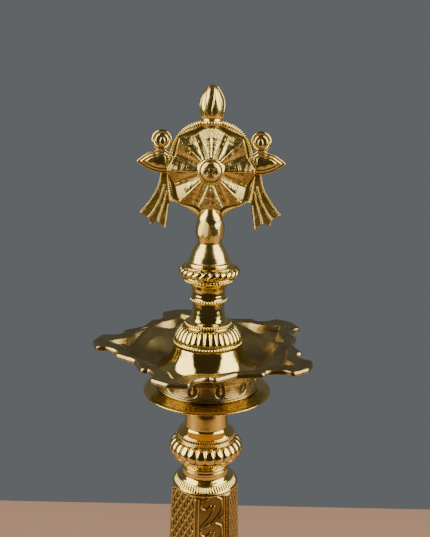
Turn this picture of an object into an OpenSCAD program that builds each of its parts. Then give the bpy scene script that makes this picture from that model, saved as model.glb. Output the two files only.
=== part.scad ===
// Five-spout brass standing oil lamp: a hollow base, a six-sided column, a
// turned knob, a star-shaped oil bowl under a ribbed bell, and a wheel finial.
// Millimetres, +Z up, the lamp axis is the Z axis and z = 0 is the table.

/* [Overall] */
// full height from the table to the tip of the flame
lamp_h = 685; // [500:1:900]
// radius of the base at its widest
base_r = 95; // [70:1:130]
// height of the foot ring
foot_h = 24; // [16:1:36]
// height where the base dome ends and the collar starts
dome_top = 92; // [80:1:120]
// height where the collar ends and the column starts
column_z0 = 112; // [100:1:140]

/* [Column] */
// height of the top of the six-sided column
column_z1 = 309.6; // [280:0.1:340]
// corner radius of the column at its foot
column_r0 = 40.4; // [34:0.1:46]
// corner radius of the column at its top
column_r1 = 33.2; // [28:0.1:38]
// turn of the column about its own axis, in degrees
column_turn = 15; // [0:1:59]
// depth of the sunken panels
panel_d = 0.9; // [0.4:0.1:1.6]

/* [Cap and knob] */
// height of the top of the column cap
cap_top = 326.5; // [320:0.1:334]
// height of the top of the knob neck
neck_top = 392; // [386:0.1:398]
// radius of the knob at its widest
knob_r = 34.9; // [30:0.1:40]
// number of lobes round the knob
knob_lobes = 24; // [16:1:36]

/* [Bowl] */
// height of the seat between drip flange and bowl
seat_z = 411; // [406:0.1:416]
// radius of the drip flange
flange_r = 59.5; // [54:0.1:66]
// radius of the lip under the drum
drum_r = 48.3; // [44:0.1:54]
// height of the bowl floor
floor_z = 430; // [426:0.1:434]
// height of the rim of the bowl
rim_z = 453; // [450:0.1:460]
// radius of the five spout tips
tip_r = 106.5; // [106:0.1:116]
// radius of the rim between two spouts
valley_r = 79; // [76:0.1:82]
// direction of the first spout, in degrees
spout_turn = 37; // [0:1:71]

/* [Bell and spindle] */
// thickness of the oil washer
washer_t = 2; // [1:0.1:3]
// height of the top of the bell
bell_top = 475; // [470:0.1:482]
// number of ribs round the bell
bell_ribs = 30; // [20:1:40]
// height of the top of the spindle disc
disc_top = 527; // [522:0.1:532]
// number of slanted lobes round the spindle disc
disc_lobes = 22; // [14:1:32]

/* [Finial] */
// height of the centre of the wheel
wheel_z = 611.5; // [606:0.1:622]
// radius of the domed rosette in the wheel
wheel_r = 35.5; // [32:0.1:36]
// number of petals in the wheel
wheel_petals = 8; // [6:1:12]
// thickness of the side leaves and ribbons
leaf_t = 5; // [3:0.1:8]

/* [Studs] */
// radius of the main threaded studs
stud_r = 5; // [4:0.1:6]
// radius of the finial stud
pin_r = 4; // [3:0.1:5]
// clearance round every stud
stud_gap = 0.05; // [0.02:0.01:0.1]

/* [Hidden] */
bore_r = stud_r + stud_gap;
pin_bore_r = pin_r + stud_gap;
column_h = column_z1 - column_z0;
flat_r0 = column_r0 * cos(30);
flat_r1 = column_r1 * cos(30);
column_lean = atan2(flat_r0 - flat_r1, column_h);
column_mid = (column_z0 + column_z1) / 2;
flat_mid = (flat_r0 + flat_r1) / 2;
bell_z = floor_z + washer_t;
rim_outer = [
  [valley_r * cos(36), valley_r * sin(36)], [72.4, 39.8], [78.2, 35.4],
  [81, 32.4], [81.6, 29.4], [80.4, 26.6], [83.4, 22.6], [88, 19.4],
  [93.6, 17.4], [98.6, 17.2], [101.4, 16.2], [104.6, 9], [tip_r, 0]
];
rim_inner = [
  [(valley_r - 7) * cos(36), (valley_r - 7) * sin(36)], [66, 33.6],
  [70, 27], [74, 19], [78, 12.4], [84, 7], [91, 2.4], [tip_r - 13, 0]
];
$fn = 96;

// A ring of the given round section radius.
module torus(ring_r, round_r, z) {
  translate([0, 0, z])
    rotate_extrude()
      translate([ring_r, 0])
        circle(r = round_r, $fn = 32);
}

// A straight round bore on the lamp axis.
module bore(r, z0, z1) {
  translate([0, 0, z0])
    cylinder(r = r, h = z1 - z0);
}

// Straight grooves laid down the slope of a round part.
module slope_grooves(count, ring_r, z, lean, length, groove_r, slant = 0) {
  for (i = [0 : count - 1])
    rotate([0, 0, (i + 0.5) * 360 / count])
      translate([ring_r, 0, z])
        rotate([slant, -lean, 0])
          cylinder(r = groove_r, h = length, center = true, $fn = 24);
}

// Ring foot of the base, open in the middle.
module base_foot() {
  color("goldenrod")
    difference() {
      union() {
        rotate_extrude()
          polygon([
            [base_r - 9, 0], [base_r, 0], [base_r, 5],
            [base_r - 1.5, 7], [base_r - 2.5, 9], [base_r - 4.5, 13],
            [base_r - 8, 17], [base_r - 9.5, 19], [base_r - 9.5, foot_h],
            [base_r - 16, foot_h], [base_r - 16, 14]
          ]);
        torus(base_r - 9.5, 2, 21);
      }
      for (i = [0 : 35])
        rotate([0, 0, i * 10])
          translate([base_r - 3, 0, 13])
            sphere(r = 2.4, $fn = 24);
    }
}

// Hollow dome of the base, with lotus petals cut round it and a stud boss.
module base_dome() {
  color("gold")
    difference() {
      rotate_extrude()
        polygon([
          [base_r - 13, foot_h], [base_r - 9.5, foot_h],
          [base_r - 10.5, foot_h + 3.6], [base_r - 14.6, 31.4],
          [base_r - 20, 34.2], [base_r - 23.4, 37], [base_r - 21.8, 41],
          [base_r - 22.2, 46], [base_r - 24.8, 51.4], [base_r - 29, 56.6],
          [base_r - 34.6, 61], [57.5, 63.4], [58.6, 64.6], [58.6, 68],
          [57, 69.4], [52, 71.6], [47.6, 75.6], [44.8, 81], [43.4, 87],
          [43, dome_top], [0, dome_top], [0, dome_top - 20],
          [34, dome_top - 20], [42, 69], [50, 63], [base_r - 39, 57.8],
          [base_r - 32.6, 52], [base_r - 28, 45], [base_r - 27, 36],
          [base_r - 22, 32], [base_r - 16, 28]
        ]);
      slope_grooves(18, 70.6, 50.4, 34, 24, 1.5);
      bore(bore_r, dome_top - 21, dome_top + 1);
    }
}

// Turned collar between the base and the column.
module base_collar() {
  color("goldenrod")
    difference() {
      union() {
        bore(40, dome_top, column_z0);
        torus(41, 3.5, dome_top + 4.5);
        torus(39.5, 2, dome_top + 10.2);
        bore(43.4, column_z0 - 6.4, column_z0);
      }
      bore(bore_r, dome_top - 1, column_z0 + 1);
      bore(30, dome_top + 6, column_z0 - 8);
    }
}

// Threaded stud between the base and the column.
module column_stud() {
  color("peru")
    bore(stud_r, dome_top - 19, column_z0 + 16);
}

// One sunken panel on a side of the column.
module side_panel(side) {
  panel_h = column_h - 26;
  rotate([0, 0, column_turn + 30 + side * 60])
    translate([flat_mid, 0, column_mid])
      rotate([0, -column_lean, 0])
        cube([2 * panel_d, column_r1 - 9, panel_h], center = true);
}

// Six-sided tapered column with a sunken panel on every side.
module hex_column() {
  color("darkgoldenrod")
    difference() {
      intersection() {
        translate([0, 0, column_z0])
          rotate([0, 0, column_turn])
            cylinder(r1 = column_r0, r2 = column_r1, h = column_h, $fn = 6);
        translate([0, 0, column_z0])
          cylinder(r1 = 30.8 + column_h / 2, r2 = 30.8, h = column_h);
      }
      for (side = [0 : 5])
        side_panel(side);
      translate([0, 0, column_z0 + 18])
        cylinder(r1 = flat_r0 - 7, r2 = flat_r1 - 6, h = column_h - 34);
      bore(bore_r, column_z0 - 1, column_z0 + 19);
      bore(bore_r, column_z1 - 17, column_z1 + 1);
    }
}

// Round shouldered cap on top of the column.
module column_cap() {
  color("gold")
    difference() {
      rotate_extrude()
        polygon([
          [0, column_z1], [30.6, column_z1], [31.5, column_z1 + 1.2],
          [31.1, column_z1 + 3.4], [30.4, column_z1 + 4],
          [29.6, column_z1 + 5.4], [27.8, column_z1 + 7.5],
          [25.6, column_z1 + 9.4], [23.8, column_z1 + 10.8],
          [22.6, column_z1 + 12], [22.2, column_z1 + 13.2],
          [22.2, cap_top], [0, cap_top]
        ]);
      for (i = [0 : 59])
        rotate([0, 0, i * 6])
          translate([29.2, 0, column_z1 + 6])
            rotate([0, -38, 0])
              cylinder(r = 0.5, h = 4.6, center = true, $fn = 16);
      bore(bore_r, column_z1 - 1, cap_top + 1);
    }
}

// Threaded stud between the column cap and the knob.
module knob_stud() {
  color("peru")
    bore(stud_r, column_z1 - 14, cap_top + 12);
}

// Lobed knob with a plain neck above it.
module upper_knob() {
  color("goldenrod")
    difference() {
      rotate_extrude()
        polygon([
          [0, cap_top], [22.5, cap_top], [22.5, 328.2], [21.4, 328.8],
          [21.4, 330], [21.9, 330.4], [21.9, 331.2], [21.4, 331.6],
          [22, 332.4], [25.4, 335], [29.2, 338.5], [32.4, 341.8],
          [knob_r - 0.6, 345.2], [knob_r, 348.6], [knob_r - 0.5, 352],
          [knob_r - 2.4, 355.2], [29.3, 358.4], [28.3, 359], [28.3, 360],
          [27.4, 360.6], [27.5, 361.4], [27.2, 363.6], [26.3, 364.2],
          [26, 365], [25, 366], [23.4, 367.4], [21.8, 368.7],
          [20.8, 370.2], [20.6, 372], [20.3, 384], [19.7, neck_top],
          [0, neck_top]
        ]);
      slope_grooves(knob_lobes, knob_r - 0.9, 353.8, 33, 15, 1.2);
      bore(21, 341, 362);
      bore(bore_r, cap_top - 1, neck_top + 1);
    }
}

// Drip flange under the bowl, sloping down to a thin rim.
module drip_flange() {
  color("gold")
    difference() {
      rotate_extrude()
        polygon([
          [0, neck_top], [19.7, neck_top], [20.4, 394.5], [23, 397.5],
          [28, 400.6], [36, 403.2], [46, 404.8], [flange_r - 0.6, 405.6],
          [flange_r, 406.3], [flange_r - 0.2, 407.3], [56.5, 408.4],
          [52, 409.6], [46, seat_z], [43, seat_z], [41.6, 408],
          [36, 406.4], [28, 403.8], [22.6, 400.6], [19.6, 397.6],
          [17, 397.6], [17, seat_z], [0, seat_z]
        ]);
      bore(bore_r, neck_top - 1, seat_z + 1);
    }
}

// Long threaded stud that carries the bowl and takes the bell.
module bowl_stud() {
  color("peru")
    bore(stud_r, neck_top - 26, 463);
}

// Turns a flat point about the lamp axis.
function turned(p, a) = [
  p[0] * cos(a) - p[1] * sin(a), p[0] * sin(a) + p[1] * cos(a)
];

// One spout from valley to valley, made from half of its outline.
function spout_points(half, a) = concat(
  [for (k = [0 : len(half) - 1]) turned([half[k][0], -half[k][1]], a)],
  [for (k = [len(half) - 2 : -1 : 1]) turned(half[k], a)]
);

// Star of five spouts from half of one spout, tip last.
module star(half) {
  pts = [for (i = [0 : 4]) each spout_points(half, spout_turn + i * 72)];
  polygon(pts);
}

// Five-spout oil bowl on its round engraved drum.
module lamp_bowl() {
  color("gold")
    difference() {
      intersection() {
        rotate_extrude()
          polygon([
            [0, seat_z], [17, seat_z], [17, 424], [42, 424],
            [43.5, 422], [44.5, seat_z + 0.8], [drum_r, seat_z + 0.8],
            [drum_r, seat_z + 2.6], [46.8, seat_z + 3.4],
            [46.4, 421], [47.6, 427.4], [60, 433.6], [70, 440.4],
            [valley_r + 1.7, 447.8], [tip_r + 2, 448.9],
            [tip_r + 2, rim_z], [0, rim_z]
          ]);
        translate([0, 0, seat_z - 1])
          linear_extrude(height = rim_z - seat_z + 2)
            star(rim_outer);
      }
      intersection() {
        rotate_extrude()
          polygon([
            [0, floor_z], [46.5, floor_z], [60, 437.4], [70, 444.4],
            [valley_r + 2.3, 449.9], [tip_r, 450.3], [tip_r, rim_z + 2],
            [0, rim_z + 2]
          ]);
        translate([0, 0, floor_z - 1])
          linear_extrude(height = rim_z - floor_z + 2)
            star(rim_inner);
      }
      bore(bore_r, seat_z - 1, floor_z + 1);
    }
}

// Soft washer that seals the bell to the bowl round the stud.
module oil_washer() {
  color("dimgray")
    difference() {
      bore(15, floor_z, bell_z);
      bore(bore_r, floor_z - 1, bell_z + 1);
    }
}

// Hollow bell: a ribbed dome over a plain flared skirt.
module bell_dome() {
  color("goldenrod")
    difference() {
      union() {
        rotate_extrude()
          polygon([
            [0, bell_z], [15, bell_z], [15, 456], [24, 456],
            [28, 451], [30.5, 440.4], [36, 433.5], [43, floor_z],
            [46, floor_z], [45.4, 431.2], [40, 434.6], [35.6, 439.5],
            [32.8, 445.4], [31, 450.8], [30.5, 452.6], [31, 456.6],
            [29.8, 462.2], [27, 467], [22.6, 470.6], [19, 472.8],
            [16.4, bell_top], [0, bell_top]
          ]);
        torus(30.4, 1.4, 454.6);
        torus(20.2, 1.4, 471.8);
      }
      slope_grooves(bell_ribs, 29.4, 463.4, 38, 15.4, 0.9);
      bore(bore_r, bell_z - 1, bell_top + 1);
    }
}

// Threaded stud between the bell and the spindle.
module spindle_stud() {
  color("peru")
    bore(stud_r, 464, 494);
}

// Turned spindle with a beaded ring and a slanted lobed disc.
module spindle() {
  color("gold")
    difference() {
      union() {
        rotate_extrude()
          polygon([
            [0, bell_top], [16.4, bell_top], [15.7, 478], [15.1, 483],
            [14.8, 487], [14.8, 491.4], [15.6, 492.4], [15.6, 497],
            [15.2, 498.4], [15.3, 503.6], [16, 506.6], [17.4, 509.2],
            [19.2, 511.4], [21.6, 513.2], [23.6, 514], [23.6, 516.8],
            [26.8, 518.4], [27.9, 520.6], [27.9, 521.8], [27.2, 523.6],
            [25, 525.4], [21.6, disc_top], [0, disc_top]
          ]);
        torus(15.9, 1.5, 494.7);
        torus(23.3, 1.3, 515.4);
      }
      slope_grooves(disc_lobes, 26.2, 524, 56, 10, 0.9, 30);
      bore(bore_r, bell_top - 1, 495);
      bore(pin_bore_r, 507, disc_top + 1);
    }
}

// Threaded stud that holds the finial.
module finial_stud() {
  color("peru")
    bore(pin_r, 508, 544);
}

// Foot and lotus-bud stem of the finial.
module finial_stem() {
  rotate_extrude()
    polygon([
      [0, disc_top], [20.2, disc_top], [20.6, 528], [20, 529.4],
      [18.4, 530.4], [17.7, 533], [16.8, 536.2], [15, 540],
      [12.8, 543.8], [11, 547.8], [12, 552], [13, 557], [13, 561.6],
      [12.2, 565.6], [12, 569], [9, 573], [6, 580], [0, 582]
    ]);
}

// Round pointed flame bud on its small collar.
module flame_bud() {
  flame_z = lamp_h - 34;
  rotate_extrude()
    polygon([
      [0, flame_z - 3], [8.4, flame_z - 3], [9, flame_z],
      [8.8, flame_z + 3.4], [8.4, flame_z + 4.8], [9.8, flame_z + 6.4],
      [10.6, flame_z + 9.6], [11.4, flame_z + 13.4],
      [11.4, flame_z + 17.6], [10.6, flame_z + 21.8],
      [8.2, flame_z + 26.8], [4.6, flame_z + 32], [1.6, lamp_h - 0.5],
      [0, lamp_h]
    ]);
  torus(8.6, 1.5, flame_z + 1.4);
}

// Right half of the outline of the wheel's flat plate, top first.
wheel_half = [
  [0, 43.4], [9.8, 42.9], [18.6, 39.9], [25.6, 35.2], [31, 29.2],
  [35, 22], [37.6, 12], [38.7, 2], [38.9, -10], [38.2, -22],
  [36.4, -28.8], [32.6, -28.6], [27, -31], [19.6, -34.8],
  [12.4, -39.8], [10.6, -45], [0, -45]
];

// Flat plate behind both faces of the wheel.
module wheel_plate() {
  translate([0, 2, 0])
    rotate([90, 0, 0])
      linear_extrude(height = 4) {
        polygon(wheel_half);
        mirror([1, 0, 0])
          polygon(wheel_half);
      }
}

// One domed face of the wheel, lying in the XZ plane and facing -Y.
module wheel_face() {
  rotate([90, 0, 0])
    rotate_extrude()
      polygon([
        [0, -1], [wheel_r, -1], [wheel_r, 3], [wheel_r - 2, 4.2],
        [13.4, 9.6], [13, 11], [11.2, 11], [10.6, 12], [6.4, 13.4],
        [0, 13.4]
      ]);
}

// Double-faced wheel with grooves between its petals.
module wheel() {
  translate([0, 0, wheel_z])
    difference() {
      union() {
        wheel_plate();
        wheel_face();
        mirror([0, 1, 0])
          wheel_face();
      }
      for (i = [0 : wheel_petals - 1], side = [-1, 1])
        rotate([0, (i + 0.5) * 360 / wheel_petals, 0])
          translate([0, side * 6.9, 24.4])
            rotate([side * 15.2, 0, 0])
              cylinder(r = 1.2, h = 17, center = true, $fn = 20);
    }
}

// Outline of one side leaf below its round upper lobe.
module leaf_outline() {
  polygon([
    [34, 14], [40, 18], [49.3, 16.4], [55.2, 14.6], [61, 10.8],
    [64.4, 8.4], [65.4, 6.8], [64.2, 5.2], [60.4, 3], [55.2, -0.2],
    [47.3, -2.9], [41.2, -3.4], [34, -3]
  ]);
}

// Outline of one hanging ribbon with a scalloped end.
module ribbon_outline() {
  polygon([
    [34, 0], [42.6, -2.4], [44.4, -5], [46, -13], [50.2, -20.8],
    [56.6, -30.7], [63, -38.2], [61.6, -39.8], [57.6, -40.8],
    [55.2, -43], [53.4, -49], [52, -49.2], [50.4, -47.4],
    [47.4, -46.4], [43.4, -49.2], [40.6, -52.4], [39, -52],
    [37.8, -42], [36.2, -30.6], [34, -24]
  ]);
}

// Leaves, lobes and ribbon on one side of the wheel.
module wheel_side() {
  translate([0, leaf_t / 2, wheel_z])
    rotate([90, 0, 0]) {
      linear_extrude(height = leaf_t)
        leaf_outline();
      linear_extrude(height = leaf_t)
        ribbon_outline();
      translate([43, 25.4, 0])
        cylinder(r = 9.2, h = leaf_t);
    }
}

// Wheel finial on its stem, topped by the flame bud.
module chakra_finial() {
  color("goldenrod")
    difference() {
      union() {
        finial_stem();
        wheel();
        wheel_side();
        mirror([1, 0, 0])
          wheel_side();
        flame_bud();
      }
      bore(pin_bore_r, disc_top - 1, 545);
    }
}

base_foot();
base_dome();
base_collar();
column_stud();
hex_column();
column_cap();
knob_stud();
upper_knob();
drip_flange();
bowl_stud();
lamp_bowl();
oil_washer();
bell_dome();
spindle_stud();
spindle();
finial_stud();
chakra_finial();
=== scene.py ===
"""Looks for the brass standing oil lamp: turned, chased and cast brass."""

import math

import bmesh
import bpy
import numpy as np
from mathutils import Matrix, Vector


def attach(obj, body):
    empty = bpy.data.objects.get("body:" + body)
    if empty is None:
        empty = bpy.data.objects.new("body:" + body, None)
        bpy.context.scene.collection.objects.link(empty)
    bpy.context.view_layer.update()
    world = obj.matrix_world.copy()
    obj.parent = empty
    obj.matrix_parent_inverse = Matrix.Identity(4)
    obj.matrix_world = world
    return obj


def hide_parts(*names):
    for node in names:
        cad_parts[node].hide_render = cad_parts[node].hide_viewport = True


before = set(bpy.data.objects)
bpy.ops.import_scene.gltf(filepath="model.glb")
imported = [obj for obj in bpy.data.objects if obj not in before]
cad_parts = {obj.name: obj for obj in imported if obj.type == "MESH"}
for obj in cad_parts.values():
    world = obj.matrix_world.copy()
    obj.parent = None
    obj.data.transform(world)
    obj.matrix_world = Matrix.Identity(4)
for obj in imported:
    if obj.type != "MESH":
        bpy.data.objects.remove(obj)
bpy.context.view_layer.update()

MM = 0.001
TAU = 2 * math.pi

# Heights and radii of the lamp, in millimetres, as its solids have them.
BORE_R = 5.05
PIN_BORE_R = 4.05
DOME_TOP = 92
COLUMN_Z0 = 112.0
COLUMN_Z1 = 309.6
COLUMN_R0 = 40.4
COLUMN_R1 = 33.2
CAP_TOP = 326.5
NECK_TOP = 392
SEAT_Z = 411.0
FLOOR_Z = 430.0
BELL_Z = 432
RIM_Z = 453.0
BELL_TOP = 475
DISC_TOP = 527
WHEEL_Z = 611.5
COLUMN_TURN = math.radians(15)
SPOUT_TURN = math.radians(37)
SPOUT_SECTOR = TAU / 5

# Camera and lights, in metres.
CAMERA_AT = (0.0053, -0.658, 0.687)
CAMERA_LENS = 50.28
CAMERA_PITCH = math.radians(76)
CAMERA_ROLL = math.radians(1.2)
FLOOR_FRONT, FLOOR_BACK, FLOOR_SIDE = -0.9, 0.463, 1.5
SOFTBOX_SIDE, SOFTBOX_Y, SOFTBOX_Z = 1.148, -0.351, 1.1
SOFTBOX_AIM = (0, 0, 0.43)


# ---- curves


def smooth_run(points):
    """Catmull-Rom curve through one run of points, ends included."""
    p = np.array(points, float)
    p = np.vstack([2 * p[0] - p[1], p, 2 * p[-1] - p[-2]])
    out = []
    for a, b, c, d in zip(p[:-3], p[1:-2], p[2:-1], p[3:]):
        t = np.linspace(0, 1, 24, endpoint=False)[:, None]
        out.append(0.5 * (2 * b + (c - a) * t + (2 * a - 5 * b + 4 * c - d) * t**2
                          + (3 * b - a - 3 * c + d) * t**3))
    return np.vstack(out + [p[-2:-1]])


def curve(points):
    """Polyline through points; a third item marks a point as smooth."""
    out, run = [], [points[0][:2]]
    for item in points[1:]:
        run.append(item[:2])
        if len(item) == 2:
            out.append(smooth_run(run) if len(run) > 2 else np.array(run, float))
            run = [item[:2]]
    if len(run) > 1:
        out.append(smooth_run(run))
    return np.vstack([out[0]] + [part[1:] for part in out[1:]])


def lengths(path):
    """Length along a path from its start to each of its points."""
    return np.r_[0, np.cumsum(np.hypot(*np.diff(path, axis=0).T))]


def spaced(path, count, **ends):
    """The given count of points, evenly spaced along a path."""
    length = lengths(path)
    at = np.linspace(0, length[-1], count, **ends)
    return np.c_[np.interp(at, length, path[:, 0]), np.interp(at, length, path[:, 1])]


def resample(path, step):
    """The same path with points about a step apart."""
    return spaced(path, max(2, int(round(lengths(path)[-1] / step)) + 1))


def whole_turn(count):
    """Evenly spaced angles once round the axis."""
    return np.arange(count) / count * TAU


def soften(path, radius, step):
    """Rounds the corners of an open path, keeping both of its ends."""
    if radius <= 0:
        return path
    half = max(1, int(2.5 * radius / step))
    k = np.exp(-0.5 * (np.arange(-half, half + 1) * step / radius) ** 2)
    k /= k.sum()
    head = 2 * path[0] - path[half:0:-1]
    tail = 2 * path[-1] - path[-2 : -half - 2 : -1]
    wide = np.vstack([head, path, tail])
    out = np.c_[np.convolve(wide[:, 0], k, "valid"), np.convolve(wide[:, 1], k, "valid")]
    out[0], out[-1] = path[0], path[-1]
    return out


def pick_rows(path, step, bands, coarse, turn_limit=0.09):
    """Row indices: close together in bands and corners, wider elsewhere.

    bands holds (z low, z high, row spacing) or (z low, z high, spacing, r low).
    """
    d = np.diff(path, axis=0)
    heading = np.unwrap(np.arctan2(d[:, 1], d[:, 0]))
    keep, gone, turned = [0], 0.0, 0.0
    for i in range(1, len(path) - 1):
        gone += step
        turned += abs(heading[i] - heading[i - 1])
        want = coarse
        for band in bands:
            if band[0] <= path[i, 1] <= band[1]:
                if len(band) < 4 or path[i, 0] >= band[3]:
                    want = min(want, band[2])
        if gone >= want or (turned > turn_limit and gone >= 0.16):
            keep.append(i)
            gone = turned = 0.0
    return keep + [len(path) - 1]


# ---- relief


def step_up(x, a, b):
    """Smooth 0 to 1 ramp from a to b."""
    t = np.clip((x - a) / (b - a), 0, 1)
    return t * t * (3 - 2 * t)


def window(x, low, high, edge):
    """1 between low and high, easing to 0 over the edge inside each end."""
    return step_up(x, low, low + edge) * (1 - step_up(x, high - edge, high))


def across(turns):
    """Place across each repeat of a pattern, from -1 to 1."""
    return 2 * (turns - np.floor(turns)) - 1


def bead(x, y, power=2.0):
    """Round bump that is 1 at the middle and 0 where x*x + y*y reaches 1."""
    return np.clip(1 - np.abs(x) ** power - np.abs(y) ** 2, 0, 1) ** 0.5


def beads(theta, v, count, middle, half):
    """Row of round beads, half as high as they are wide."""
    return bead(across(theta / TAU * count) * 0.98, (v - middle) / half)


def lobes(turns, v, low, high, end):
    """Long round-ended lobes side by side between low and high."""
    cap = np.clip((low + end - v) / end, 0, 1) + np.clip((v - high + end) / end, 0, 1)
    inside = (v > low) & (v < high)
    return bead(across(turns) * 0.97, cap, 2.4) * inside


def line(distance, half):
    """Thin rounded ridge around zero distance."""
    return np.exp(-((distance / half) ** 2))


def turned_lines(v, places, half=0.16):
    """Fine grooves cut by the lathe at the given places."""
    return sum(line(v - place, half) for place in places)


# ---- meshes


def blur(grid, reach):
    """Cheap box blur that wraps round the columns."""
    out = grid.copy()
    for axis, wrap in ((1, True), (0, False)):
        total = out.copy()
        for k in range(1, reach + 1):
            for sign in (-1, 1):
                moved = np.roll(out, sign * k, axis=axis)
                if not wrap:
                    if sign > 0:
                        moved[:k] = out[:1]
                    else:
                        moved[-k:] = out[-1:]
                total += moved
        out = total / (2 * reach + 1)
    return out


class Shell:
    """Collects closed grids of points and makes one mesh from them."""

    def __init__(self):
        self.points, self.faces, self.recess, self.count = [], [], [], 0

    def grid(self, p, recess, wrap_rows=False):
        """Adds rows of points whose columns wrap round.

        With wrap_rows the last row joins the first, as in a ring. Otherwise
        an end row that isn't a single point is closed with a flat cap.
        """
        rows, cols = p.shape[:2]
        index = np.arange(rows * cols).reshape(rows, cols) + self.count
        low = index if wrap_rows else index[:-1]
        high = np.roll(index, -1, axis=0) if wrap_rows else index[1:]
        quads = np.stack(
            [low, np.roll(low, -1, axis=1), np.roll(high, -1, axis=1), high], axis=-1
        )
        self.faces += quads.reshape(-1, 4).tolist()
        if not wrap_rows:
            for end, ring in ((0, index[0][::-1]), (-1, index[-1])):
                if np.ptp(p[end], axis=0).max() > 0.01:
                    self.faces.append(ring.tolist())
        self.points.append(p.reshape(-1, 3))
        # Painted shade of each point, 0 to 1.
        self.recess.append(recess.reshape(-1))
        self.count += rows * cols

    def build(self, name, body, node, material):
        """Makes the piece that stands for a CAD node, riding on a body."""
        points = np.vstack(self.points) * MM
        mesh = bpy.data.meshes.new(name)
        mesh.from_pydata(points.tolist(), [], self.faces)
        # Store each point's painted shade for the brass materials to darken.
        layer = mesh.attributes.new("recess", "FLOAT", "POINT")
        layer.data.foreach_set("value", np.concatenate(self.recess).astype(np.float32))
        tidy_mesh(mesh)
        mesh.materials.append(material)
        piece = bpy.data.objects.new(name, mesh)
        bpy.context.scene.collection.objects.link(piece)
        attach(piece, body)
        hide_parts(node)


def tidy_mesh(mesh):
    """Joins doubled points and faces everything outward."""
    bm = bmesh.new()
    bm.from_mesh(mesh)
    bmesh.ops.remove_doubles(bm, verts=bm.verts, dist=2e-7)
    bmesh.ops.recalc_face_normals(bm, faces=bm.faces)
    for face in bm.faces:
        face.smooth = True
    bm.to_mesh(mesh)
    bm.free()


def recess_of(depth, reach=5, gain=2.2):
    """How far each point lies below its surroundings, 0 to 1, used as painted shade in recesses."""
    return np.clip((blur(depth, reach) - depth) * gain, 0, 1)


def lathe(shell, points, relief=None, bands=(), columns=480, coarse=1.4,
          radius=0.18, ring=True, gain=2.2):
    """Turns a profile about the lamp axis, adds relief along its normal and paints shade into the relief's
    recesses.

    points go out along the bottom, up the outside and back along the top.
    """
    step = 0.08
    path = soften(resample(curve(points), step), radius, step)
    rows = pick_rows(path, step, bands, coarse)
    tangent = np.gradient(path, axis=0)
    tangent /= np.maximum(np.hypot(*tangent.T), 1e-9)[:, None]
    r, z = path[rows].T
    nr, nz = tangent[rows, 1], -tangent[rows, 0]
    theta = whole_turn(columns)[None, :]
    base_r, base_z = r[:, None], z[:, None]
    depth = np.zeros((len(rows), columns))
    if relief is not None:
        depth = relief(*np.broadcast_arrays(theta, base_r, base_z))
        depth = np.where((base_r > BORE_R + 1.2) | (not ring), depth, 0)
    rr = base_r + depth * nr[:, None]
    zz = base_z + depth * nz[:, None]
    p = np.stack([rr * np.cos(theta), rr * np.sin(theta), zz + 0 * theta], axis=-1)
    shell.grid(p, recess_of(depth, gain=gain), wrap_rows=ring)


# ---- materials


class Nodes:
    """Short names for building a node tree."""

    def __init__(self, name):
        self.material = bpy.data.materials.new(name)
        self.material.use_nodes = True
        self.tree = self.material.node_tree
        self.shader = self.tree.nodes["Principled BSDF"]

    def add(self, kind, **values):
        made = self.tree.nodes.new(kind)
        for key, value in values.items():
            if hasattr(made, key):
                setattr(made, key, value)
            else:
                made.inputs[key.replace("_", " ")].default_value = value
        return made

    def link(self, out, into):
        self.tree.links.new(out, into)

    def feed(self, value, socket):
        """Sets a socket to a number or a colour, or links an output to it."""
        if isinstance(value, (int, float)):
            socket.default_value = value
        elif isinstance(value, tuple):
            socket.default_value = (*value, 1)
        else:
            self.link(value, socket)

    def noise(self, vector, scale, detail=4.0, rough=0.55):
        made = self.add("ShaderNodeTexNoise", Scale=scale, Detail=detail, Roughness=rough)
        self.link(vector, made.inputs["Vector"])
        return made.outputs["Fac"]

    def ramp(self, value, stops):
        made = self.add("ShaderNodeValToRGB")
        ramp = made.color_ramp
        while len(ramp.elements) < len(stops):
            ramp.elements.new(0.5)
        for element, (place, color) in zip(ramp.elements, stops):
            element.position = place
            element.color = (*color, 1)
        self.link(value, made.inputs["Fac"])
        return made.outputs["Color"]

    def math(self, op, a, b, clamp=False):
        made = self.add("ShaderNodeMath", operation=op, use_clamp=clamp)
        for socket, value in zip(made.inputs, (a, b)):
            self.feed(value, socket)
        return made.outputs[0]

    def mix(self, factor, a, b):
        """Mixes two colours. Sockets 0, 6 and 7 are the colour mix's inputs."""
        made = self.add("ShaderNodeMix", data_type="RGBA", blend_type="MIX")
        for index, value in ((0, factor), (6, a), (7, b)):
            self.feed(value, made.inputs[index])
        return made.outputs[2]


def grey(level):
    """A grey colour stop."""
    return (level, level, level)


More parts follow.
